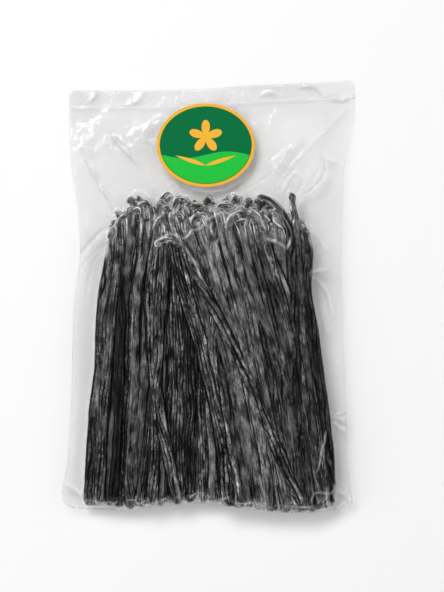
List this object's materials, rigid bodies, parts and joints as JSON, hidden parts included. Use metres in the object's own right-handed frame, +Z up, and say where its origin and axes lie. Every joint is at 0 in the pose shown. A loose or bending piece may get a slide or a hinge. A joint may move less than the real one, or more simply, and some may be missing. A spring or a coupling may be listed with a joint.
{
  "type": "bag of vanilla pods",
  "caption": "Clear sealed vacuum bag packed with dark cured vanilla pods, lying flat with an empty flap of film at its mouth and a small oval label on it.",
  "frame": {"origin": "under the middle of the bag's outline, on the surface that the bag lies on", "axes": "+X across the bag, +Y along the pods towards the empty flap and its seal, +Z up out of the side with the label"},
  "size_m": [0.1906, 0.2826, 0.0218],
  "materials": {
    "pods": "near-black, oily, wrinkled skin with a broken gloss",
    "film": "clear glossy vacuum film, lightly creased, tight over the pods",
    "label": "satin printed sticker in two greens with an amber rim"
  },
  "bodies": {
    "root": {"pouch": "pods", "label": "label"}
  },
  "joints": []
}
